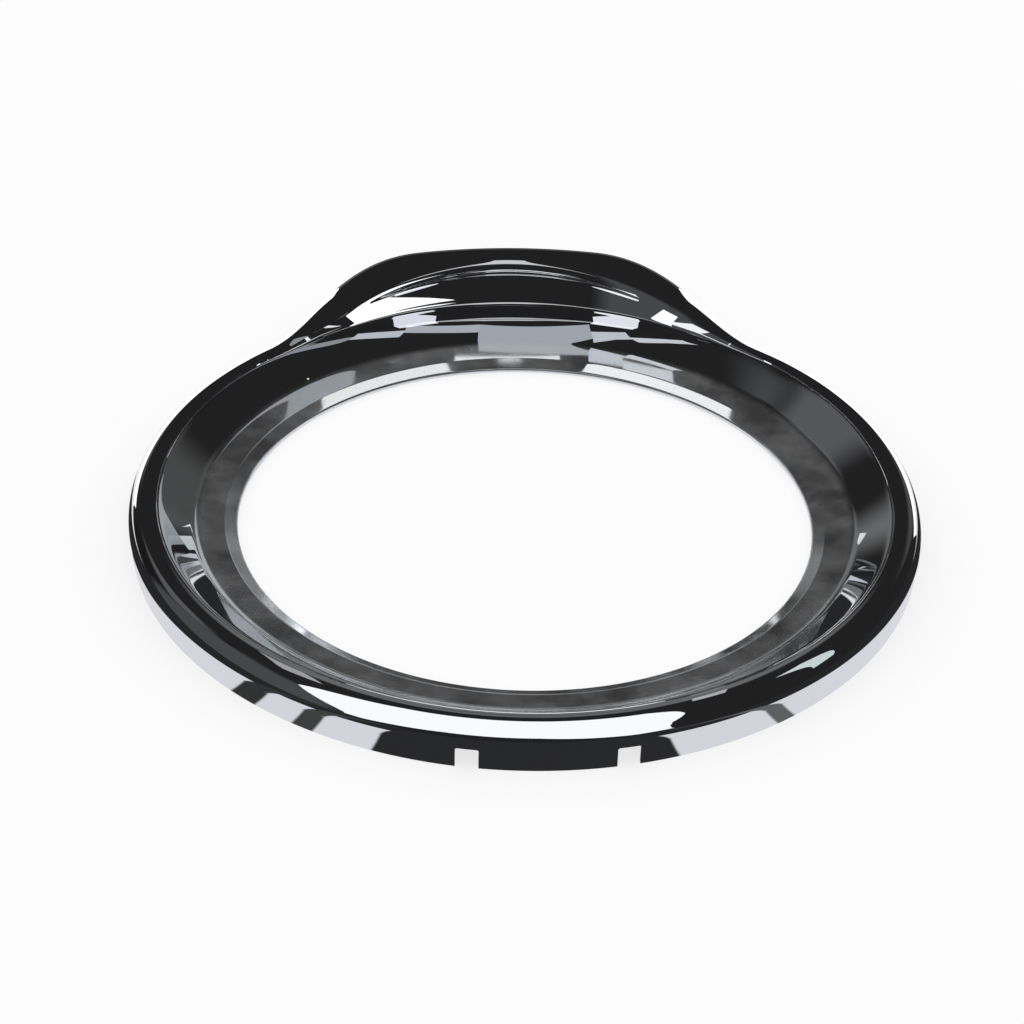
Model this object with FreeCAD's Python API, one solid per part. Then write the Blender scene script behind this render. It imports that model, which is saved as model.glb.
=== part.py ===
import FreeCAD, Part
import math
import os

# Bright trim ring of a front-loading washer door, lying face up.
# Origin: on the ring's axis, in the plane of the skirt's lower edge. +Z is the face that shows,
# +Y is the handle, -Y is the hinge side. All lengths in mm, all angles in degrees.

# Widths of the section, added up from the window opening outwards
opening_radius = 176.0
lip_width = 8.0
ledge_width = 16.5
funnel_width = 21.5
roll_width = 18.5

# Heights of the section, added up from the rim of the opening
rim_clearance = 0.8
rim_land = 3.0
lip_rise = 3.4
ledge_rise = 1.6
funnel_rise = 16.7
skirt_height = 14.0

# Moulding
wall = 2.6
skirt_setback = 0.8
crest_step = 0.45
roll_bevel = 7.5
roll_bevel_rise = 1.0
funnel_foot_radius = 9.0

# Handle at its middle
pocket_dip = 13.8
pocket_floor_width = 30.0
pocket_wall_lean = 12.0
pocket_edge_rise = 3.4
crown_run = 14.0
crown_rise = 16.7
shoulder_run = 9.8
shoulder_drop = 10.9
handle_lip_depth = 11.0

# Spread of the handle around the ring, each angle measured from +Y
dip_half_angle = 57.5
pocket_half_angle = 48.0
plateau_half_angle = 13.0
handle_half_angle = 44.6
blend_margin = 2.5
section_step = 5.0

# Notches in the skirt for the hinge
notch_width = 12.5
notch_height = 12.5
notch_spacing = 86.0

# Screw bosses under the funnel
boss_count = 8
boss_diameter = 9.0
boss_inset = 8.0
pilot_diameter = 3.3
pilot_depth = 7.5
web_thickness = 1.8
web_clearance = 2.0

crest_radius = opening_radius + lip_width + ledge_width + funnel_width
crest_height = rim_clearance + rim_land + lip_rise + ledge_rise + funnel_rise
ring_radius = crest_radius + roll_width
skirt_radius = ring_radius - skirt_setback
boss_circle_radius = crest_radius - boss_inset
handle_zone = max(dip_half_angle, pocket_half_angle, handle_half_angle) + blend_margin

# Short curves that make up a quarter of the arch and the rounding at the funnel's foot
quarter_curves = 4
bend_curves = 3


def swell(angle, flat, end):
    """1 over the flat middle, falling to 0 at the end angle along half a cosine wave."""
    share = (abs(angle) - flat) / (end - flat)
    share = min(max(share, 0.0), 1.0)
    return 0.5 * (1.0 + math.cos(math.pi * share))


def mix(start, end, share):
    return (start[0] + (end[0] - start[0]) * share, start[1] + (end[1] - start[1]) * share)


def moved(point, shift, amount=1.0):
    return (point[0] + shift[0] * amount, point[1] + shift[1] * amount)


def underside(before, corner, after):
    """Shift of a corner, for a wall 1 mm thick, that keeps the wall even on both its sides."""
    normals = []
    for start, end in ((before, corner), (corner, after)):
        run, rise = end[0] - start[0], end[1] - start[1]
        length = math.hypot(run, rise)
        normals.append((rise / length, -run / length))
    (a, b), (c, d) = normals
    along = 1.0 + a * c + b * d
    return ((a + c) / along, (b + d) / along)


# Corners that are the same all round the ring, as (radius, height)
rim_foot = (opening_radius, rim_clearance)
rim_top = moved(rim_foot, (0.0, rim_land))
crease = moved(rim_top, (lip_width, lip_rise))
funnel_foot = moved(crease, (ledge_width, ledge_rise))
plain_crest = moved(funnel_foot, (funnel_width, funnel_rise))


def plain_corners():
    """Crest, step, edge, crown and shoulder of the ring where there is no handle."""
    foot = moved(plain_crest, (1.8 * crest_step, -0.7 * crest_step))
    edge = moved(foot, (1.3 * crest_step, 1.1 * crest_step))
    crown = moved(edge, (roll_bevel, roll_bevel_rise))
    shoulder = (ring_radius, skirt_height + crest_step)
    return foot, edge, crown, shoulder


def handle_corners():
    """The same corners at the middle of the handle."""
    foot = moved(plain_crest, (pocket_floor_width, -pocket_dip))
    edge = moved(foot, (pocket_wall_lean, pocket_dip + pocket_edge_rise))
    crown = (edge[0] + crown_run, crest_height + crown_rise)
    shoulder = moved(crown, (shoulder_run, -shoulder_drop))
    return foot, edge, crown, shoulder


def corners(angle):
    """Outer corners of the section at an angle from +Y: crest, foot, edge, crown, shoulder, tip."""
    dip = swell(angle, 0.0, dip_half_angle)
    pocket = swell(angle, 0.0, pocket_half_angle)
    arch = swell(angle, plateau_half_angle, handle_half_angle)
    plain, full = plain_corners(), handle_corners()
    crest = moved(plain_crest, (0.0, -pocket_dip), dip)
    foot_radius = mix(plain[0], full[0], pocket)[0]
    foot = (foot_radius, mix(plain[0], full[0], dip)[1])
    edge = mix(plain[1], full[1], pocket)
    crown = mix(plain[2], full[2], arch)
    shoulder = mix(plain[3], full[3], arch)
    tip = moved(shoulder, (0.0, -crest_step), 1.0 - arch)
    tip = moved(tip, (0.0, -handle_lip_depth), arch)
    return crest, foot, edge, crown, shoulder, tip


def inner_corners(angle):
    """The underside's corners, one wall below the outer ones."""
    crest, foot, edge, crown, shoulder, tip = corners(angle)
    pocket = swell(angle, 0.0, pocket_half_angle)
    full_foot, full_edge, full_crown, _ = handle_corners()
    full_crest = moved(plain_crest, (0.0, -pocket_dip))
    above_edge = moved(full_edge, (0.0, full_crown[1]))
    plain_shift = underside(funnel_foot, plain_crest, moved(plain_crest, (roll_width, 0.0)))
    foot_shift = mix(plain_shift, underside(full_crest, full_foot, full_edge), pocket)
    edge_shift = mix(plain_shift, underside(full_foot, full_edge, above_edge), pocket)
    return (moved(crest, plain_shift, wall), moved(foot, foot_shift, wall),
            moved(edge, edge_shift, wall), moved(crown, (0.0, -wall)),
            moved(shoulder, (-wall, 0.0)), moved(tip, (-wall, 0.0)))


def in_space(point, angle):
    turn = math.radians(angle)
    return FreeCAD.Vector(point[0] * math.sin(turn), point[0] * math.cos(turn), point[1])


def line(start, end, angle):
    return Part.LineSegment(in_space(start, angle), in_space(end, angle)).toShape()


def curve(points, angle):
    bezier = Part.BezierCurve()
    bezier.setPoles([in_space(point, angle) for point in points])
    return bezier.toShape()


def bend(enter, corner, leave, angle):
    """Rounding of a corner, in short curves."""

    def spot(first, second):
        return mix(mix(enter, corner, first), mix(corner, leave, first), second)

    shares = [index / bend_curves for index in range(bend_curves + 1)]
    pairs = zip(shares, shares[1:])
    return [curve([spot(a, a), spot(a, b), spot(b, b)], angle) for a, b in pairs]


def rounded_path(points, radii, angle):
    """Straight runs through the points; a corner with a radius is rounded off."""
    edges = []
    start = points[0]
    for before, corner, after, radius in zip(points, points[1:], points[2:], radii):
        if radius == 0.0:
            edges.append(line(start, corner, angle))
            start = corner
            continue
        room_in, room_out = math.dist(before, corner), math.dist(corner, after)
        cut = min(radius, 0.4 * room_in, 0.4 * room_out)
        enter = mix(corner, before, cut / room_in)
        leave = mix(corner, after, cut / room_out)
        edges.append(line(start, enter, angle))
        edges += bend(enter, corner, leave, angle)
        start = leave
    edges.append(line(start, points[-1], angle))
    return edges


def quarter(start, corner, end, bulge, angle):
    """Quarter ellipse towards a corner in short curves; with no bulge it is the straight run."""
    step = 0.5 * math.pi / quarter_curves

    def spot(turn, reach):
        round_spot = mix(start, corner, reach * math.sin(turn))
        round_spot = moved(round_spot, moved(end, corner, -1.0), 1.0 - reach * math.cos(turn))
        return mix(mix(start, end, 2.0 * turn / math.pi), round_spot, bulge)

    stops = [spot(index * step, 1.0) for index in range(quarter_curves + 1)]
    pulls = [spot((index + 0.5) * step, 1.0 / math.cos(0.5 * step)) for index in range(quarter_curves)]
    return [curve(poles, angle) for poles in zip(stops, pulls, stops[1:])]


def arch(edge, crown, shoulder, angle):
    """Two quarter ellipses, level at the crown; beside the handle the first is a low bevel."""
    height = swell(angle, plateau_half_angle, handle_half_angle)
    rising = quarter(edge, (edge[0], crown[1]), crown, height, angle)
    return rising + quarter(crown, (shoulder[0], crown[1]), shoulder, 1.0, angle)


def under_arch(edge, crown, shoulder):
    """Corners of the arch's underside, which follows the quarter ellipses in straight runs."""
    half = math.sqrt(0.5)
    rising = (crown[0] + (edge[0] - crown[0]) * half, edge[1] + (crown[1] - edge[1]) * half)
    falling = (crown[0] + (shoulder[0] - crown[0]) * half, shoulder[1] + (crown[1] - shoulder[1]) * half)
    return [edge, rising, crown, falling, shoulder]


def canopy_section(angle):
    """Closed section of the moulded face: lip, ledge, funnel, pocket and handle arch."""
    crest, foot, edge, crown, shoulder, tip = corners(angle)
    face = [rim_foot, rim_top, crease, funnel_foot, crest, foot, edge]
    radii = [0.0, 0.0, funnel_foot_radius, 0.0, 0.0]
    under_crest, under_foot, under_edge, under_crown, under_shoulder, under_tip = inner_corners(angle)
    under_foot_of_rim = moved(rim_foot, (wall, 0.0))
    under_rim = moved(rim_top, underside(rim_foot, rim_top, crease), wall)
    under_crease = moved(crease, underside(rim_top, crease, funnel_foot), wall)
    under_funnel = moved(funnel_foot, underside(crease, funnel_foot, plain_crest), wall)
    back = [rim_foot, under_foot_of_rim, under_rim, under_crease, under_funnel, under_crest, under_foot]
    back += under_arch(under_edge, under_crown, under_shoulder)
    back += [under_tip, tip, shoulder]
    edges = rounded_path(face, radii, angle)
    edges += arch(edge, crown, shoulder, angle)
    edges += [line(start, end, angle) for start, end in zip(back, back[1:])]
    return Part.Wire(Part.__sortEdges__(edges))


def surface_height(radius, angle):
    """Height of the visible face at a radius between the crest and the shoulder."""
    crest, foot, edge, crown, shoulder, _ = corners(angle)
    for start, end in ((crest, foot), (foot, edge)):
        if radius <= end[0]:
            return mix(start, end, (radius - start[0]) / (end[0] - start[0]))[1]
    if radius <= crown[0]:
        share = (crown[0] - radius) / (crown[0] - edge[0])
        return edge[1] + (crown[1] - edge[1]) * math.sqrt(1.0 - share ** 2)
    share = (radius - crown[0]) / (shoulder[0] - crown[0])
    return shoulder[1] + (crown[1] - shoulder[1]) * math.sqrt(1.0 - share ** 2)


def skirt_section(angle):
    """The upright skirt, from the table up into the middle of the face's wall."""
    inner = skirt_radius - wall
    inner_top = (inner, surface_height(inner, angle) - 0.5 * wall)
    outer_top = (skirt_radius, surface_height(skirt_radius, angle) - 0.5 * wall)
    points = [in_space(point, angle) for point in ((inner, 0.0), (skirt_radius, 0.0), outer_top, inner_top)]
    return Part.makePolygon(points + points[:1])


def handle_side():
    """The stretch of ring that carries the handle, lofted through its sections."""
    steps = math.ceil(2.0 * handle_zone / section_step)
    angles = [handle_zone * (2.0 * index / steps - 1.0) for index in range(steps + 1)]
    canopy = Part.makeLoft([canopy_section(angle) for angle in angles], True)
    skirt = Part.makeLoft([skirt_section(angle) for angle in angles], True)
    return canopy.fuse(skirt)


def plain_side():
    """The rest of the ring, where the section stays the same."""
    axis = (FreeCAD.Vector(), FreeCAD.Vector(0, 0, -1), 360.0 - 2.0 * handle_zone)
    canopy = Part.Face(canopy_section(handle_zone)).revolve(*axis)
    skirt = Part.Face(skirt_section(handle_zone)).revolve(*axis)
    return canopy.fuse(skirt)


def boss_angles():
    """Angles from +Y, even round the ring, with the handle's middle between two bosses."""
    return [360.0 * (index + 0.5) / boss_count - 180.0 for index in range(boss_count)]


def boss(angle):
    """Screw boss under the funnel, with its pilot hole and a web to the skirt."""
    share = (boss_circle_radius - 0.5 * boss_diameter - funnel_foot[0]) / funnel_width
    top = mix(funnel_foot, corners(angle)[0], share)[1] - 0.5 * wall
    centre = FreeCAD.Vector(0, boss_circle_radius, 0)
    post = Part.makeCylinder(0.5 * boss_diameter, top, centre)
    reach = skirt_radius - 0.5 * wall - boss_circle_radius
    web = Part.makeBox(web_thickness, reach, top - web_clearance)
    web.translate(FreeCAD.Vector(-0.5 * web_thickness, boss_circle_radius, web_clearance))
    shape = post.fuse(web).cut(Part.makeCylinder(0.5 * pilot_diameter, pilot_depth, centre))
    shape.rotate(FreeCAD.Vector(), FreeCAD.Vector(0, 0, 1), -angle)
    return shape


def notch(side):
    """Square cut through the skirt, open at its lower edge."""
    depth = 4.0 * wall
    box = Part.makeBox(notch_width, 2.0 * depth, 2.0 * notch_height)
    across = 0.5 * side * notch_spacing
    along = -math.sqrt(skirt_radius ** 2 - across ** 2)
    box.translate(FreeCAD.Vector(across - 0.5 * notch_width, along - depth, -notch_height))
    return box


def door_trim_ring():
    handle, plain = handle_side(), plain_side()
    for angle in boss_angles():
        if abs(angle) < handle_zone:
            handle = handle.fuse(boss(angle))
        else:
            plain = plain.fuse(boss(angle))
    for side in (-1, 1):
        plain = plain.cut(notch(side))
    return handle.fuse(plain).removeSplitter()


os.makedirs("parts", exist_ok=True)
ring = door_trim_ring()
ring.exportStep("parts/door_trim_ring.step")
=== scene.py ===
import math
import bpy
from mathutils import Matrix, Vector


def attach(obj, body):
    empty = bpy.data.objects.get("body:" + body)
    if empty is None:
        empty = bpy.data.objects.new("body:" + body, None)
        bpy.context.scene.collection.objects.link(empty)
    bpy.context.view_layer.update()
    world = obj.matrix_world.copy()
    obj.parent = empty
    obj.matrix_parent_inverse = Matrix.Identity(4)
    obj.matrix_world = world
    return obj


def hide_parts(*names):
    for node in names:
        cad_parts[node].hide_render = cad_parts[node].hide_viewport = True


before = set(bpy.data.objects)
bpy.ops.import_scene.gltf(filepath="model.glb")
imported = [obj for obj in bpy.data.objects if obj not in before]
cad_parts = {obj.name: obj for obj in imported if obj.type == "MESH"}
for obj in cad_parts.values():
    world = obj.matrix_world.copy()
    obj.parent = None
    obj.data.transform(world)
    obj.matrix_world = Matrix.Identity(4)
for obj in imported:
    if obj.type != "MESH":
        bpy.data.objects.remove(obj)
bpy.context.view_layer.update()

# Bright trim ring of a washer door, lying face up on a white table. Everything is in metres: sizes
# are written in mm and turned to metres by this factor.
MM = 0.001

# Widths of the section, added up from the window opening outwards
opening_radius = 176.0 * MM
lip_width = 8.0 * MM
ledge_width = 16.5 * MM
funnel_width = 21.5 * MM
roll_width = 18.5 * MM

# Heights of the section, added up from the rim of the opening
rim_clearance = 0.8 * MM
rim_land = 3.0 * MM
lip_rise = 3.4 * MM
ledge_rise = 1.6 * MM
funnel_rise = 16.7 * MM
skirt_height = 14.0 * MM

# Moulding
wall = 2.6 * MM
skirt_setback = 0.8 * MM
crest_step = 0.45 * MM
roll_bevel = 7.5 * MM
roll_bevel_rise = 1.0 * MM

# Fine groove along the crest, in crest steps: out and down to its foot, then out and up to the roll
groove_run = 1.8
groove_drop = 0.7
groove_edge_run = 1.3
groove_edge_rise = 1.1

# Handle at its middle
pocket_dip = 13.8 * MM
pocket_floor_width = 30.0 * MM
pocket_wall_lean = 12.0 * MM
pocket_edge_rise = 3.4 * MM
crown_run = 14.0 * MM
crown_rise = 16.7 * MM
shoulder_run = 9.8 * MM
shoulder_drop = 10.9 * MM
handle_lip_depth = 11.0 * MM

# Spread of the handle around the ring, in degrees from +Y
dip_half_angle = 57.5
pocket_half_angle = 48.0
plateau_half_angle = 13.0
handle_half_angle = 44.6
crest_soft_angle = 75.0

# Roundings of the moulding's corners, measured from the corner along each run
lip_round = 0.9 * MM
crease_round = 0.7 * MM
funnel_round = 3.5 * MM
crest_round = 3.6 * MM
handle_crest_round = 9.0 * MM
pocket_round = 2.6 * MM
tip_round = 1.0 * MM
skirt_round = 0.5 * MM

# The most that a rounding takes of a run, and of the handle lip's thickness
most_of_run = 0.4
most_of_lip = 0.3

# Notches in the skirt
notch_width = 12.5 * MM
notch_height = 12.5 * MM
notch_spacing = 86.0 * MM
notch_round = 1.2 * MM
notch_cut_depth = 6.0 * wall

# Screw bosses
boss_count = 8
boss_radius = 4.5 * MM
boss_inset = 8.0 * MM
pilot_radius = 1.65 * MM
pilot_depth = 7.5 * MM
web_thickness = 1.8 * MM
web_clearance = 2.0 * MM
web_ease = 0.3 * MM

# The mesh stays this far inside the solid's outer radius
hair = 0.02 * MM

# Fineness of the mesh
ring_steps = 480
round_steps = 6
arch_steps = 15
under_steps = 14
boss_steps = 40
notch_round_steps = 5
web_ease_steps = 2
angle_digits = 3
seam_weld = 0.0005 * MM
corner_weld = 0.002 * MM
smooth_angle = 38.0

# Points along a straight run, close together near its ends so that the faces between stay true
RUN_SHARES = (0.0, 0.06, 0.3, 0.7, 0.94)

# Where the inner poles of a curve lie that draws a quarter round, and the sine of 45 degrees
QUARTER = 0.5523
DIAGONAL = math.sqrt(0.5)

crest_radius = opening_radius + lip_width + ledge_width + funnel_width
crest_height = rim_clearance + rim_land + lip_rise + ledge_rise + funnel_rise
ring_radius = crest_radius + roll_width - hair
skirt_radius = ring_radius - skirt_setback
skirt_inside = skirt_radius - wall
boss_circle_radius = crest_radius - boss_inset


def swell(angle, flat, end):
    """1 over the flat middle, falling to 0 at the end angle along half a cosine wave."""
    share = min(max((abs(angle) - flat) / (end - flat), 0.0), 1.0)
    return 0.5 * (1.0 + math.cos(math.pi * share))


def mix(start, end, share):
    """Point a share of the way from the start to the end."""
    return (start[0] + (end[0] - start[0]) * share, start[1] + (end[1] - start[1]) * share)


def moved(point, shift, amount=1.0):
    """Point moved by an amount of a shift."""
    return (point[0] + shift[0] * amount, point[1] + shift[1] * amount)


def underside(before, corner, after):
    """Shift of a corner, for a wall of 1, that keeps the wall even on both its sides."""
    normals = []
    for start, end in ((before, corner), (corner, after)):
        length = math.dist(start, end)
        normals.append(((end[1] - start[1]) / length, (start[0] - end[0]) / length))
    (a, b), (c, d) = normals
    along = 1.0 + a * c + b * d
    return ((a + c) / along, (b + d) / along)


# Corners that are the same all round the ring, as (radius, height)
rim_foot = (opening_radius, rim_clearance)
rim_top = moved(rim_foot, (0.0, rim_land))
crease = moved(rim_top, (lip_width, lip_rise))
funnel_foot = moved(crease, (ledge_width, ledge_rise))
plain_crest = moved(funnel_foot, (funnel_width, funnel_rise))
plain_foot = moved(plain_crest, (groove_run, -groove_drop), crest_step)
plain_edge = moved(plain_foot, (groove_edge_run, groove_edge_rise), crest_step)
plain_crown = moved(plain_edge, (roll_bevel, roll_bevel_rise))
plain_shoulder = (ring_radius, skirt_height + crest_step)

# The same corners at the middle of the handle
full_crest = moved(plain_crest, (0.0, -pocket_dip))
full_foot = moved(plain_crest, (pocket_floor_width, -pocket_dip))
full_edge = moved(full_foot, (pocket_wall_lean, pocket_dip + pocket_edge_rise))
full_crown = (full_edge[0] + crown_run, crest_height + crown_rise)
full_shoulder = moved(full_crown, (shoulder_run, -shoulder_drop))

# How far the underside's corners lie from the outer ones, for a wall of 1
crest_shift = underside(funnel_foot, plain_crest, moved(plain_crest, (roll_width, 0.0)))
full_foot_shift = underside(full_crest, full_foot, full_edge)
full_edge_shift = underside(full_foot, full_edge, moved(full_edge, (0.0, full_crown[1])))

# Corners of the underside that are the same all round
under_funnel = moved(funnel_foot, underside(crease, funnel_foot, plain_crest), wall)
under_crease = moved(crease, underside(rim_top, crease, funnel_foot), wall)
under_rim = moved(rim_top, underside(rim_foot, rim_top, crease), wall)
under_rim_foot = moved(rim_foot, (wall, 0.0))


def straight(start, end):
    """Points along a run, its end left out."""
    return [mix(start, end, share) for share in RUN_SHARES]


def bend(poles, steps):
    """Points along a curve with these poles, its end left out."""
    points = []
    for index in range(steps):
        row = poles
        while len(row) > 1:
            row = [mix(a, b, index / steps) for a, b in zip(row, row[1:])]
        points.append(row[0])
    return points


def rounded(points, rounds):
    """Runs through the points with each inner corner rounded, the last point left out."""
    path = []
    start = points[0]
    for before, corner, after, size in zip(points, points[1:], points[2:], rounds):
        enter = mix(corner, before, min(size / math.dist(before, corner), most_of_run))
        leave = mix(corner, after, min(size / math.dist(corner, after), most_of_run))
        path += straight(start, enter) + bend([enter, corner, leave], round_steps)
        start = leave
    return path + straight(start, points[-1])


def spread(path, steps):
    """Points at even spaces along a path, its first left out and its last kept."""
    lengths = [math.dist(a, b) for a, b in zip(path, path[1:])]
    total = sum(lengths)
    points = []
    for index in range(1, steps + 1):
        left = total * index / steps
        spot = path[-1]
        for a, b, length in zip(path, path[1:], lengths):
            if left <= length and length > 0.0:
                spot = mix(a, b, left / length)
                break
            left -= length
        points.append(spot)
    return points


def cut_at(path, radius):
    """The stretch of a path before it crosses a radius, with the crossing as its end."""
    kept = [path[0]]
    for start, end in zip(path, path[1:]):
        if (start[0] - radius) * (end[0] - radius) <= 0.0 and start[0] != end[0]:
            return kept + [mix(start, end, (radius - start[0]) / (end[0] - start[0]))]
        kept.append(end)
    return kept


def section(angle):
    """Closed section of the ring at an angle from +Y, always with the same number of points."""
    dip = swell(angle, 0.0, dip_half_angle)
    pocket = swell(angle, 0.0, pocket_half_angle)
    arch = swell(angle, plateau_half_angle, handle_half_angle)
    crest = mix(plain_crest, full_crest, dip)
    foot = (mix(plain_foot, full_foot, pocket)[0], mix(plain_foot, full_foot, dip)[1])
    edge = mix(plain_edge, full_edge, pocket)
    crown = mix(plain_crown, full_crown, arch)
    shoulder = mix(plain_shoulder, full_shoulder, arch)
    tip = moved(shoulder, (0.0, -mix((crest_step, 0.0), (handle_lip_depth, 0.0), arch)[0]))

    # Up from the opening to the crest, through the finger pocket and over the arch
    face = [rim_foot, rim_top, crease, funnel_foot, crest, foot, edge]
    soft = swell(angle, pocket_half_angle, crest_soft_angle)
    crest_soft = crest_round + (handle_crest_round - crest_round) * soft
    rounds = [lip_round, crease_round, funnel_round, crest_soft, pocket_round]
    upright = moved(edge, (0.0, (crown[1] - edge[1]) * QUARTER))
    level = moved(crown, (-(crown[0] - edge[0]) * QUARTER, 0.0))
    reach = moved(crown, ((shoulder[0] - crown[0]) * QUARTER, 0.0))
    fall = moved(shoulder, (0.0, (crown[1] - shoulder[1]) * QUARTER))
    outer = rounded(face, rounds)
    outer += bend([edge, mix(mix(edge, crown, 1.0 / 3.0), upright, arch), level, crown], arch_steps)
    outer += bend([crown, reach, fall, shoulder], arch_steps)

    # Round the lower edge of the handle's lip
    lip_inside = (max(tip[0] - wall, skirt_radius), tip[1])
    lip_cut = min(tip_round, most_of_lip * (tip[0] - lip_inside[0]), most_of_run * (shoulder[1] - tip[1]))
    lip_start = moved(tip, (0.0, lip_cut))
    lip_end = moved(tip, (-lip_cut, 0.0))
    outer += straight(shoulder, lip_start)
    outer += bend([lip_start, tip, lip_end], round_steps)
    outer += [lip_end, lip_inside]

    # Corners of the wall's underside, from the crest out to the handle's lip
    in_crest = moved(crest, crest_shift, wall)
    in_foot = moved(foot, mix(crest_shift, full_foot_shift, pocket), wall)
    in_edge = moved(edge, mix(crest_shift, full_edge_shift, pocket), wall)
    in_crown = moved(crown, (0.0, -wall))
    in_shoulder = moved(shoulder, (-wall, 0.0))
    rising = (in_crown[0] + (in_edge[0] - in_crown[0]) * DIAGONAL,
              in_edge[1] + (in_crown[1] - in_edge[1]) * DIAGONAL)
    falling = (in_crown[0] + (in_shoulder[0] - in_crown[0]) * DIAGONAL,
               in_shoulder[1] + (in_crown[1] - in_shoulder[1]) * DIAGONAL)
    inner = [in_crest, in_foot, in_edge, rising, in_crown, falling, in_shoulder]

    # Under the handle to the outside of the skirt
    if lip_inside[0] > skirt_radius:
        outside = cut_at([lip_inside] + inner[::-1], skirt_radius)
    else:
        outside = [lip_inside, lip_inside]
    outer += spread(outside, under_steps)
    joint = outer.pop()

    # Round the skirt's lower edge, and back under the wall to the opening
    inside = cut_at(inner, skirt_inside)
    skirt = [joint, (skirt_radius, 0.0), (skirt_inside, 0.0), inside[-1]]
    back = rounded(skirt, [skirt_round, skirt_round])
    back += [inside[-1]] + spread(inside[::-1], under_steps)
    back.pop()
    under = [in_crest, under_funnel, under_crease, under_rim, under_rim_foot, rim_foot]
    for start, end in zip(under, under[1:]):
        back += straight(start, end)
    return outer + back


def deselect():
    """Leaves edit mode, with nothing selected."""
    if bpy.context.object and bpy.context.object.mode != "OBJECT":
        bpy.ops.object.mode_set(mode="OBJECT")
    bpy.ops.object.select_all(action="DESELECT")


def ring_moulding():
    """The section is drawn, spun round the axis, and swollen into the handle at the far side."""
    deselect()
    drawn = section(0.0)
    bpy.ops.mesh.primitive_circle_add(vertices=len(drawn), fill_type="NOTHING")
    ring = bpy.context.object
    ring.name = "door_trim_ring_moulding"
    place = ring.data.attributes.new("place_in_section", "INT", "POINT")
    for index, (radius, height) in enumerate(drawn):
        ring.data.vertices[index].co = (0.0, radius, height)
        place.data[index].value = index
    bpy.ops.object.mode_set(mode="EDIT")
    bpy.ops.mesh.select_all(action="SELECT")
    bpy.ops.mesh.spin(steps=ring_steps, angle=2.0 * math.pi, center=(0, 0, 0), axis=(0, 0, 1))
    bpy.ops.mesh.select_all(action="SELECT")
    bpy.ops.mesh.remove_doubles(threshold=seam_weld)
    bpy.ops.object.mode_set(mode="OBJECT")

    place = ring.data.attributes["place_in_section"]
    sections = {}
    for vertex, index in zip(ring.data.vertices, place.data):
        turn = math.atan2(vertex.co.x, vertex.co.y)
        angle = round(math.degrees(turn), angle_digits)
        if angle not in sections:
            sections[angle] = section(angle)
        radius, height = sections[angle][index.value]
        vertex.co = (radius * math.sin(turn), radius * math.cos(turn), height)
    ring.data.attributes.remove(place)

    bpy.ops.object.mode_set(mode="EDIT")
    bpy.ops.mesh.select_all(action="SELECT")
    bpy.ops.mesh.remove_doubles(threshold=corner_weld)
    bpy.ops.mesh.normals_make_consistent(inside=False)
    bpy.ops.object.mode_set(mode="OBJECT")
    return ring


def notch_cutter(side):
    """A block as wide as a notch, half of it above the table, with rounded upper corners."""
    deselect()
    across = 0.5 * side * notch_spacing
    along = -math.sqrt(skirt_radius ** 2 - across ** 2)
    bpy.ops.mesh.primitive_cube_add(size=1.0, location=(across, along + 0.5 * wall, 0.0))
    block = bpy.context.object
    block.scale = (notch_width, notch_cut_depth, 2.0 * notch_height)
    bpy.ops.object.transform_apply(location=True, rotation=True, scale=True)
    bpy.ops.object.mode_set(mode="EDIT")
    bpy.ops.mesh.select_mode(type="EDGE")
    bpy.ops.mesh.select_all(action="DESELECT")
    bpy.ops.object.mode_set(mode="OBJECT")
    for edge in block.data.edges:
        start, end = (block.data.vertices[index].co for index in edge.vertices)
        edge.select = abs(start.y - end.y) > wall and min(start.z, end.z) > 0.0
    bpy.ops.object.mode_set(mode="EDIT")
    bpy.ops.mesh.bevel(offset=notch_round, segments=notch_round_steps)
    bpy.ops.object.mode_set(mode="OBJECT")
    return block


def cut_notches(ring):
    """Two square cuts through the skirt, open below."""
    left = notch_cutter(-1)
    right = notch_cutter(1)
    left.select_set(True)
    bpy.ops.object.join()
    deselect()
    bpy.context.view_layer.objects.active = ring
    ring.select_set(True)
    cut = ring.modifiers.new("notches", "BOOLEAN")
    cut.operation = "DIFFERENCE"
    cut.solver = "EXACT"
    cut.object = right
    bpy.ops.object.modifier_apply(modifier=cut.name)
    bpy.data.objects.remove(right)


def boss_web(top):
    """Thin upright wall from a boss to the skirt, its edges eased."""
    deselect()
    start = boss_circle_radius + pilot_radius + 0.5 * wall
    reach = skirt_radius - 0.5 * wall - start
    middle = (0, start + 0.5 * reach, 0.5 * (top + web_clearance))
    bpy.ops.mesh.primitive_cube_add(size=1.0, location=middle)
    web = bpy.context.object
    web.scale = (web_thickness, reach, top - web_clearance)
    bpy.ops.object.transform_apply(location=True, rotation=True, scale=True)
    edges = web.modifiers.new("eased", "BEVEL")
    edges.width = web_ease
    edges.segments = web_ease_steps
    bpy.ops.object.modifier_apply(modifier=edges.name)
    return web


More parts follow.
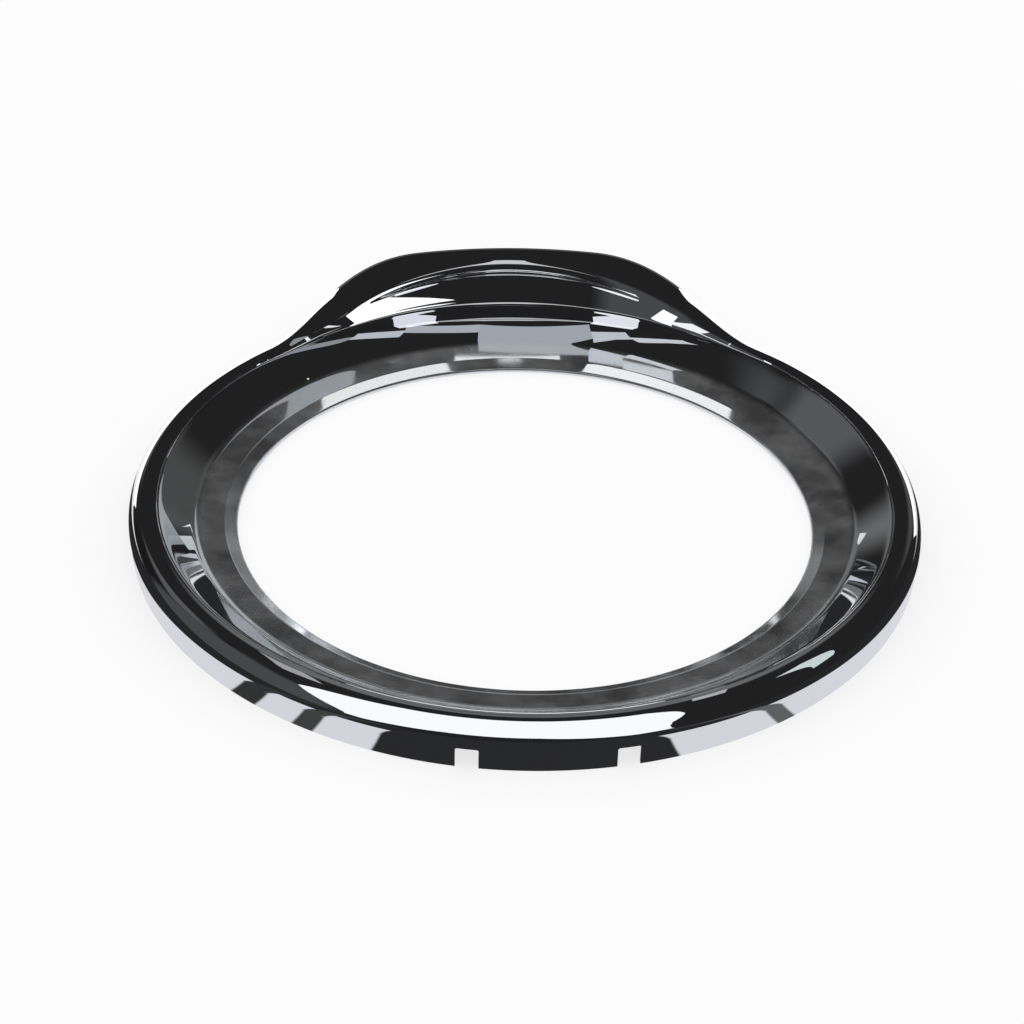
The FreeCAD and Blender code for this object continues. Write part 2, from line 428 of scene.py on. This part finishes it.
def screw_boss(angle):
    """Post with a pilot hole up into it, and the web that ties it to the skirt."""
    deselect()
    dip = swell(angle, 0.0, dip_half_angle)
    share = (boss_circle_radius - boss_radius - funnel_foot[0]) / funnel_width
    top = mix(funnel_foot, mix(plain_crest, full_crest, dip), share)[1] - 0.5 * wall
    bpy.ops.mesh.primitive_cylinder_add(vertices=boss_steps, radius=boss_radius, depth=top,
                                        location=(0, boss_circle_radius, 0.5 * top))
    post = bpy.context.object
    bpy.ops.object.transform_apply(location=True, rotation=True, scale=True)
    bpy.ops.object.mode_set(mode="EDIT")
    bpy.ops.mesh.select_mode(type="FACE")
    bpy.ops.mesh.select_all(action="DESELECT")
    bpy.ops.object.mode_set(mode="OBJECT")
    for face in post.data.polygons:
        face.select = face.normal.z < -0.9
    bpy.ops.object.mode_set(mode="EDIT")
    bpy.ops.mesh.inset(thickness=boss_radius - pilot_radius)
    bpy.ops.mesh.extrude_region_move(TRANSFORM_OT_translate={"value": (0, 0, pilot_depth)})
    bpy.ops.object.mode_set(mode="OBJECT")

    web = boss_web(top)
    web.select_set(True)
    post.select_set(True)
    bpy.context.view_layer.objects.active = post
    bpy.ops.object.join()
    turn = Matrix.Rotation(math.radians(-angle), 4, "Z")
    post.data.transform(turn)
    return post


def door_trim_ring():
    """The whole moulding as one piece: shell, notches and screw bosses."""
    ring = ring_moulding()
    cut_notches(ring)
    bosses = []
    for index in range(boss_count):
        bosses.append(screw_boss(360.0 * (index + 0.5) / boss_count - 180.0))
    deselect()
    for boss in bosses:
        boss.select_set(True)
    ring.select_set(True)
    bpy.context.view_layer.objects.active = ring
    bpy.ops.object.join()
    bpy.ops.object.shade_smooth_by_angle(angle=math.radians(smooth_angle))
    return ring


def colour(code):
    """Linear colour of an sRGB hex value."""
    parts = [int(code[index:index + 2], 16) / 255.0 for index in (0, 2, 4)]
    linear = [p / 12.92 if p <= 0.04045 else ((p + 0.055) / 1.055) ** 2.4 for p in parts]
    return (*linear, 1.0)


def add(tree, kind, links=None, **settings):
    """Adds a node, sets its properties, and fills its inputs with values or links."""
    node = tree.nodes.new(kind)
    for name, value in settings.items():
        setattr(node, name, value)
    for key, value in (links or {}).items():
        if isinstance(value, bpy.types.NodeSocket):
            tree.links.new(value, node.inputs[key])
        else:
            node.inputs[key].default_value = value
    return node


# Chrome, and the dust on it; sizes of the smears and specks in its film and of the plastic's waves
CHROME = "EEF0F2"
DUST = "D9D8D4"
smear_size = 30.0 * MM
speck_size = 1.6 * MM
wave_size = 55.0 * MM
wave_depth = 0.12 * MM
wave_strength = 0.25
dust_fade = 3.0 * MM

# Noise values between which smears and specks come in, and the film where there is no smear
smears_from, smears_to = 0.35, 0.7
specks_from, specks_to = 0.52, 0.72
thin_film = 0.25

# Roughness of the bare mirror and under full film, what a speck adds, and the film's matt share
mirror_roughness = 0.02
film_roughness = 0.13
speck_roughness = 0.16
film_matt_share = 0.12


def bright_chrome_on_abs():
    """Decorative chrome over moulded ABS: a mirror with the moulding's faint waviness, and a film
    of handling haze and dust on the flat ledge and lip around the opening."""
    material = bpy.data.materials.new("bright_chrome_on_abs")
    material.use_nodes = True
    tree = material.node_tree
    tree.nodes.clear()
    place = add(tree, "ShaderNodeTexCoord").outputs["Object"]
    parts = add(tree, "ShaderNodeSeparateXYZ", {"Vector": place}).outputs
    flat = add(tree, "ShaderNodeCombineXYZ", {"X": parts["X"], "Y": parts["Y"]}).outputs["Vector"]
    radius = add(tree, "ShaderNodeVectorMath", {0: flat}, operation="LENGTH").outputs["Value"]

    # Dust lies on the ledge and lip, and ends softly at the foot of the funnel
    ledge_radius = crest_radius - funnel_width
    settled = add(tree, "ShaderNodeMapRange", {
        "Value": radius, "From Min": ledge_radius + dust_fade, "From Max": ledge_radius - dust_fade,
        "To Min": 0.0, "To Max": 1.0}, interpolation_type="SMOOTHSTEP").outputs["Result"]
    smears = add(tree, "ShaderNodeTexNoise", {
        "Vector": place, "Scale": 1.0 / smear_size, "Detail": 4.0, "Roughness": 0.6}).outputs["Fac"]
    specks = add(tree, "ShaderNodeTexNoise", {
        "Vector": place, "Scale": 1.0 / speck_size, "Detail": 3.0, "Roughness": 0.7}).outputs["Fac"]
    film = add(tree, "ShaderNodeMapRange", {
        "Value": smears, "From Min": smears_from, "From Max": smears_to,
        "To Min": thin_film, "To Max": 1.0}).outputs["Result"]
    film = add(tree, "ShaderNodeMath", {0: film, 1: settled}, operation="MULTIPLY").outputs["Value"]
    dots = add(tree, "ShaderNodeMapRange", {
        "Value": specks, "From Min": specks_from, "From Max": specks_to,
        "To Min": 0.0, "To Max": 1.0}).outputs["Result"]
    dots = add(tree, "ShaderNodeMath", {0: dots, 1: film}, operation="MULTIPLY").outputs["Value"]
    rough = add(tree, "ShaderNodeMapRange", {
        "Value": film, "To Min": mirror_roughness, "To Max": film_roughness}).outputs["Result"]
    rough = add(tree, "ShaderNodeMath", {
        0: dots, 1: speck_roughness, 2: rough}, operation="MULTIPLY_ADD").outputs["Value"]
    metal = add(tree, "ShaderNodeMath", {
        0: film, 1: -film_matt_share, 2: 1.0}, operation="MULTIPLY_ADD").outputs["Value"]
    tint = add(tree, "ShaderNodeMix", {
        "Factor": dots, "A": colour(CHROME), "B": colour(DUST)}, data_type="RGBA").outputs["Result"]

    # The plastic under the plating is not quite flat
    waves = add(tree, "ShaderNodeTexNoise", {
        "Vector": place, "Scale": 1.0 / wave_size, "Detail": 1.0}).outputs["Fac"]
    bump = add(tree, "ShaderNodeBump", {
        "Height": waves, "Strength": wave_strength, "Distance": wave_depth}).outputs["Normal"]
    shader = add(tree, "ShaderNodeBsdfPrincipled", {
        "Base Color": tint, "Metallic": metal, "Roughness": rough, "Normal": bump})
    add(tree, "ShaderNodeOutputMaterial", {"Surface": shader.outputs["BSDF"]})
    return material


def between(tree, value, middle, half, soft):
    """1 within half of the middle, falling softly to 0 around that edge; angles wrap round."""
    away = add(tree, "ShaderNodeMath", {0: value, 1: middle}, operation="SUBTRACT").outputs["Value"]
    away = add(tree, "ShaderNodeMath", {0: away, 1: 180.0, 2: -180.0}, operation="WRAP").outputs["Value"]
    away = add(tree, "ShaderNodeMath", {0: away}, operation="ABSOLUTE").outputs["Value"]
    return add(tree, "ShaderNodeMapRange", {
        "Value": away, "From Min": half + soft, "From Max": half - soft, "To Min": 0.0, "To Max": 1.0},
        interpolation_type="SMOOTHSTEP").outputs["Result"]


def azimuth_of(tree, parts):
    """Angle in degrees of a place or direction, 0 along +Y and 90 along +X."""
    turn = add(tree, "ShaderNodeMath", {0: parts["X"], 1: parts["Y"]}, operation="ARCTAN2")
    return add(tree, "ShaderNodeMath", {0: turn.outputs["Value"]}, operation="DEGREES").outputs["Value"]


# Table top: its size, how far it lies below the ring, and how much of its white is its own glow
WHITE = "FFFFFF"
TABLE_TOP = "F6F6F6"
table_size = 12.0
table_gap = 0.1 * MM
table_glow = 0.75

# The table as the chrome sees it, a painted reflection that the camera doesn't see: dark all round,
# pale behind the ring, with a round pale zone under the near half
PAINTED_DARK_REFLECTION = "282829"
PAINTED_PALE_REFLECTION = "F4F4F4"
PAINTED_NEAR_REFLECTION = "E2E1E6"
pale_zone_middle = (0.0, 245.0 * MM)
pale_zone_half = (430.0 * MM, 185.0 * MM)
near_zone_middle = (0.0, -40.0 * MM)
near_zone_radii = (237.0 * MM, 256.0 * MM)
dark_zone_in_opening = 172.0 * MM

# Softness of those painted edges: in metres, as a share of the near zone, and in degrees for its dark
# bands
zone_softness = 1.0 * MM
near_zone_softness = 0.005
dark_band_softness = 0.3

# Narrow painted dark bands of reflection in the near zone: azimuth from and to in degrees, and the tone
PAINTED_DARK_BANDS = (
    (162.7, 203.0, "2C2C2D"),
    (211.5, 214.8, "434343"),
    (221.0, 225.5, "363636"),
    (144.8, 147.8, "656565"),
)


def painted_table_reflection(tree):
    """Painted reflection: colour of the table top in the ring's reflections only, laid down from the
    lowest zone up.
    """
    place = add(tree, "ShaderNodeTexCoord").outputs["Object"]
    parts = add(tree, "ShaderNodeSeparateXYZ", {"Vector": place}).outputs
    radius = add(tree, "ShaderNodeVectorMath", {0: place}, operation="LENGTH").outputs["Value"]
    azimuth = azimuth_of(tree, parts)
    sides = between(tree, parts["X"], pale_zone_middle[0], pale_zone_half[0], zone_softness)
    ends = between(tree, parts["Y"], pale_zone_middle[1], pale_zone_half[1], zone_softness)
    pale_zone = add(tree, "ShaderNodeMath", {0: sides, 1: ends}, operation="MULTIPLY").outputs["Value"]
    from_middle = add(tree, "ShaderNodeVectorMath", {0: place, 1: (*near_zone_middle, 0.0)},
                      operation="SUBTRACT").outputs["Vector"]
    share = add(tree, "ShaderNodeVectorMath", {0: from_middle, 1: (*near_zone_radii, 1.0)},
                operation="DIVIDE").outputs["Vector"]
    reach = add(tree, "ShaderNodeVectorMath", {0: share}, operation="LENGTH").outputs["Value"]

    # Painted reflection zones, from the pale zone behind the ring to the dark zone in the opening
    layers = [(pale_zone, PAINTED_PALE_REFLECTION), (between(tree, reach, 0.0, 1.0, near_zone_softness), PAINTED_NEAR_REFLECTION)]
    for start, end, tone in PAINTED_DARK_BANDS:
        dark_band = between(tree, azimuth, 0.5 * (start + end), 0.5 * (end - start), dark_band_softness)
        layers.append((dark_band, tone))
    layers.append((between(tree, radius, 0.0, dark_zone_in_opening, zone_softness), PAINTED_DARK_REFLECTION))
    shade = colour(PAINTED_DARK_REFLECTION)
    for cover, tone in layers:
        shade = add(tree, "ShaderNodeMix", {"Factor": cover, "A": shade, "B": colour(tone)},
                    data_type="RGBA").outputs["Result"]
    return shade


def white_table():
    """Plain white table top that keeps the ring's shadow; in reflections it shows the painted dark and
    pale zones.
    """
    deselect()
    bpy.ops.mesh.primitive_plane_add(size=table_size, location=(0, 0, -table_gap))
    floor = bpy.context.object
    floor.name = "white_table"
    material = bpy.data.materials.new("white_table_top")
    material.use_nodes = True
    tree = material.node_tree
    tree.nodes.clear()
    path = add(tree, "ShaderNodeLightPath").outputs
    matt = add(tree, "ShaderNodeBsdfDiffuse", {"Color": colour(TABLE_TOP)}).outputs["BSDF"]
    white = add(tree, "ShaderNodeEmission", {
        "Color": colour(WHITE), "Strength": 1.0}).outputs["Emission"]
    seen = add(tree, "ShaderNodeMath", {0: path["Is Camera Ray"], 1: path["Is Transmission Ray"]},
               operation="ADD").outputs["Value"]
    share = add(tree, "ShaderNodeMath", {0: seen, 1: table_glow}, operation="MULTIPLY").outputs["Value"]
    plain = add(tree, "ShaderNodeMixShader", {0: share, 1: matt, 2: white}).outputs["Shader"]
    # For glossy rays the table shows the painted reflection instead of its plain white
    mirrored = add(tree, "ShaderNodeEmission", {
        "Color": painted_table_reflection(tree), "Strength": 1.0}).outputs["Emission"]
    both = add(tree, "ShaderNodeMixShader", {
        0: path["Is Glossy Ray"], 1: plain, 2: mirrored}).outputs["Shader"]
    add(tree, "ShaderNodeOutputMaterial", {"Surface": both})
    floor.data.materials.append(material)


# Patches of the dim room, as the chrome sees them: azimuth from and to, elevation from and to,
# softness of the edge, all in degrees, and the tone
DIM_ROOM = "232223"
ROOM_PATCHES = (
    ((-128.0, -52.0), (-40.0, 52.0), 6.0, "4A4B4C"),
    ((-62.0, -42.0), (-40.0, 52.0), 4.0, "1C1A1A"),
    ((-24.0, 28.0), (7.0, 23.0), 4.0, "6E6E6E"),
    ((-9.0, 9.0), (2.0, 14.0), 3.0, "2C2C2C"),
    ((22.0, 42.0), (8.0, 32.0), 5.0, "4C4C4C"),
    ((-60.0, -34.0), (29.0, 46.0), 4.0, "5C5C5E"),
)


def dim_room():
    """White all round for the camera and for matt surfaces; the chrome sees a dim room around the
    white table."""
    world = bpy.data.worlds.new("dim_room")
    bpy.context.scene.world = world
    world.use_nodes = True
    tree = world.node_tree
    tree.nodes.clear()
    way = add(tree, "ShaderNodeTexCoord").outputs["Generated"]
    parts = add(tree, "ShaderNodeSeparateXYZ", {"Vector": way}).outputs
    azimuth = azimuth_of(tree, parts)
    rise = add(tree, "ShaderNodeMath", {0: parts["Z"]}, operation="ARCSINE").outputs["Value"]
    elevation = add(tree, "ShaderNodeMath", {0: rise}, operation="DEGREES").outputs["Value"]

    shade = colour(DIM_ROOM)
    for across, up, soft, tone in ROOM_PATCHES:
        sides = between(tree, azimuth, 0.5 * sum(across), 0.5 * (across[1] - across[0]), soft)
        ends = between(tree, elevation, 0.5 * sum(up), 0.5 * (up[1] - up[0]), soft)
        patch = add(tree, "ShaderNodeMath", {0: sides, 1: ends}, operation="MULTIPLY").outputs["Value"]
        shade = add(tree, "ShaderNodeMix", {"Factor": patch, "A": shade, "B": colour(tone)},
                    data_type="RGBA").outputs["Result"]
    mirrored = add(tree, "ShaderNodeBackground", {"Color": shade, "Strength": 1.0}).outputs["Background"]
    plain = add(tree, "ShaderNodeBackground", {
        "Color": colour(WHITE), "Strength": 1.0}).outputs["Background"]
    glossy = add(tree, "ShaderNodeLightPath").outputs["Is Glossy Ray"]
    both = add(tree, "ShaderNodeMixShader", {0: glossy, 1: plain, 2: mirrored}).outputs["Shader"]
    add(tree, "ShaderNodeOutputWorld", {"Surface": both})


# Glow of the reflector and of a white light, as a multiple of plain white
GLOW = 1.1

# Long white reflector over the near side, forked round the camera: height and outline in mm
reflector_height = 100.0
REFLECTOR = (
    (-80, -150), (65, -160), (110, -240), (140, -320), (200, -420), (290, -550), (420, -740),
    (620, -1000), (400, -1000), (170, -690), (40, -520), (0, -465), (-150, -455), (-230, -500),
    (-340, -570), (-560, -750), (-800, -950), (-800, -820), (-600, -650), (-440, -495), (-330, -380),
    (-240, -270), (-190, -200),
)


def overhead_reflector():
    """White card that only the chrome sees, from below."""
    mesh = bpy.data.meshes.new("overhead_reflector")
    corners = [(x * MM, y * MM, reflector_height * MM) for x, y in REFLECTOR]
    mesh.from_pydata(corners, [], [range(len(corners))])
    if mesh.polygons[0].normal.z > 0.0:
        mesh.flip_normals()
    card = bpy.data.objects.new("overhead_reflector", mesh)
    bpy.context.collection.objects.link(card)
    material = bpy.data.materials.new("white_reflector")
    material.use_nodes = True
    tree = material.node_tree
    tree.nodes.clear()
    glow = add(tree, "ShaderNodeEmission", {
        "Color": colour(WHITE), "Strength": GLOW}).outputs["Emission"]
    clear = add(tree, "ShaderNodeBsdfTransparent").outputs["BSDF"]
    behind = add(tree, "ShaderNodeNewGeometry").outputs["Backfacing"]
    both = add(tree, "ShaderNodeMixShader", {0: behind, 1: glow, 2: clear}).outputs["Shader"]
    add(tree, "ShaderNodeOutputMaterial", {"Surface": both})
    mesh.materials.append(material)
    card.visible_camera = False
    card.visible_diffuse = False
    card.visible_shadow = False
    card.visible_transmission = False


def soft_box(name, tone, middle, along, facing, size):
    """Rectangular light that shows in the chrome on the side it faces; middle and size in mm."""
    data = bpy.data.lights.new(name, "AREA")
    data.shape = "RECTANGLE"
    data.size = size[0] * MM
    data.size_y = size[1] * MM
    data.color = colour(tone)[:3]
    watts_per_glow = 4.0 * data.size * data.size_y
    data.energy = GLOW * watts_per_glow
    light = bpy.data.objects.new(name, data)
    bpy.context.collection.objects.link(light)
    across = Vector(along).normalized()
    back = -Vector(facing).normalized()
    turn = Matrix((across, back.cross(across), back)).transposed()
    light.matrix_world = Matrix.Translation(Vector(middle) * MM) @ turn.to_4x4()
    light.visible_camera = False
    light.visible_diffuse = False
    light.visible_transmission = False


# Lights overhead that face down: name, tone, middle, length and width in mm, and the turn of the
# length from +X in degrees
OVERHEAD = (
    ("pale_strip_right", "B4BEBE", (222, -157, 100), (130, 34), -22),
    ("pale_strip_left", "8C8C8C", (-136, -60, 100), (28, 80), 0),
    ("pale_strip_middle", "98989A", (102, -60, 100), (20, 80), 0),
    ("lamp_over_handle", "B4B4B4", (4, 224, 100), (11, 40), 0),
    ("pocket_floor_left", "D0D0D6", (-62, 246, 30), (32, 8), 33),
    ("pocket_floor_right", "D8D8DC", (73, 240, 30), (34, 9), -37),
    ("lip_left", "D0D0D0", (-74, 164, 40), (84, 28), 25),
    ("lip_right", "D8D8D8", (88, 158, 40), (96, 24), -38),
)

# Lights that stand across: name, tone, middle, length and height in mm, tilt of the length in degrees,
# and the side faced, 1 towards the handle and -1 towards the hinge side
STANDING = (
    ("flank_left", "FFFFFF", (-314, 300, 50), (352, 100), 0, -1),
    ("flank_right", "FFFFFF", (385, 300, 62), (480, 124), 0, -1),
    ("pocket_wall_left", "FFFFFF", (-42, 205, 47), (78, 19), 31, 1),
    ("pocket_wall_right", "E8E8EA", (84, 205, 31), (46, 14), -22, 1),
)

# Lights on an arc behind the crest that face the opening: azimuths from and to in degrees, heights
# from and to in mm, and the tone
arc_radius = 230.0
ON_ARC = (
    ((-40, -27), (28, 110), "787C80"),
    ((-27, -18), (22, 37), "A4A8AC"),
    ((-18, -5), (16, 26), "94989C"),
    ((-5, 14), (16, 40), "8E9298"),
    ((-9, 9), (43, 56), "D4D4D4"),
    ((14, 20), (26, 46), "A8ACB2"),
    ((20, 29), (40, 62), "B0B4B8"),
)


def studio_lights():
    """What a bright ring is photographed between: soft boxes that make its highlights."""
    for name, tone, middle, size, turn in OVERHEAD:
        angle = math.radians(turn)
        soft_box(name, tone, middle, (math.cos(angle), math.sin(angle), 0), (0, 0, -1), size)
    for name, tone, middle, size, tilt, side in STANDING:
        angle = math.radians(tilt)
        soft_box(name, tone, middle, (math.cos(angle), 0, math.sin(angle)), (0, side, 0), size)
    for (start, end), (low, high), tone in ON_ARC:
        middle = math.radians(0.5 * (start + end))
        half = math.radians(0.5 * (end - start))
        outward = Vector((math.sin(middle), math.cos(middle), 0.0))
        along = Vector((math.cos(middle), -math.sin(middle), 0.0))
        place = outward * arc_radius * math.cos(half) + Vector((0.0, 0.0, 0.5 * (low + high)))
        size = (2.0 * arc_radius * math.sin(half), high - low)
        soft_box("crest_light", tone, place, along, -outward, size)


# Camera: where it stands seen from the middle of the ring, its roll, and its lens and shift in pixels
camera_azimuth = -3.9
camera_elevation = 33.96
camera_roll = 1.73
camera_distance = 1.35797
image_pixels = 1024.0
focal_pixels = 2200.0
shift_pixels = (-13.1, 5.1)
sensor_width = 36.0
nearest_shown = 0.01
farthest_shown = 50.0


def camera():
    """Looks down on the ring from the hinge side, as the photograph does."""
    azimuth = math.radians(camera_azimuth)
    elevation = math.radians(camera_elevation)
    roll = math.radians(camera_roll)
    back = Vector((math.sin(azimuth) * math.cos(elevation), -math.cos(azimuth) * math.cos(elevation),
                   math.sin(elevation)))
    right = Vector((math.cos(azimuth), math.sin(azimuth), 0.0))
    up = back.cross(right)
    turned_right = right * math.cos(roll) + up * math.sin(roll)
    turned_up = up * math.cos(roll) - right * math.sin(roll)
    data = bpy.data.cameras.new("camera")
    data.sensor_width = sensor_width
    data.lens = focal_pixels / image_pixels * sensor_width
    data.shift_x = shift_pixels[0] / image_pixels
    data.shift_y = shift_pixels[1] / image_pixels
    data.clip_start = nearest_shown
    data.clip_end = farthest_shown
    shown = bpy.data.objects.new("camera", data)
    bpy.context.collection.objects.link(shown)
    turn = Matrix((turned_right, turned_up, back)).transposed()
    shown.matrix_world = Matrix.Translation(back * camera_distance) @ turn.to_4x4()
    bpy.context.scene.camera = shown


ring = door_trim_ring()
ring.data.materials.clear()
ring.data.materials.append(bright_chrome_on_abs())
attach(ring, "root")
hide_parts("door_trim_ring")
white_table()
dim_room()
overhead_reflector()
studio_lights()
camera()
bpy.context.scene.view_settings.view_transform = "Standard"
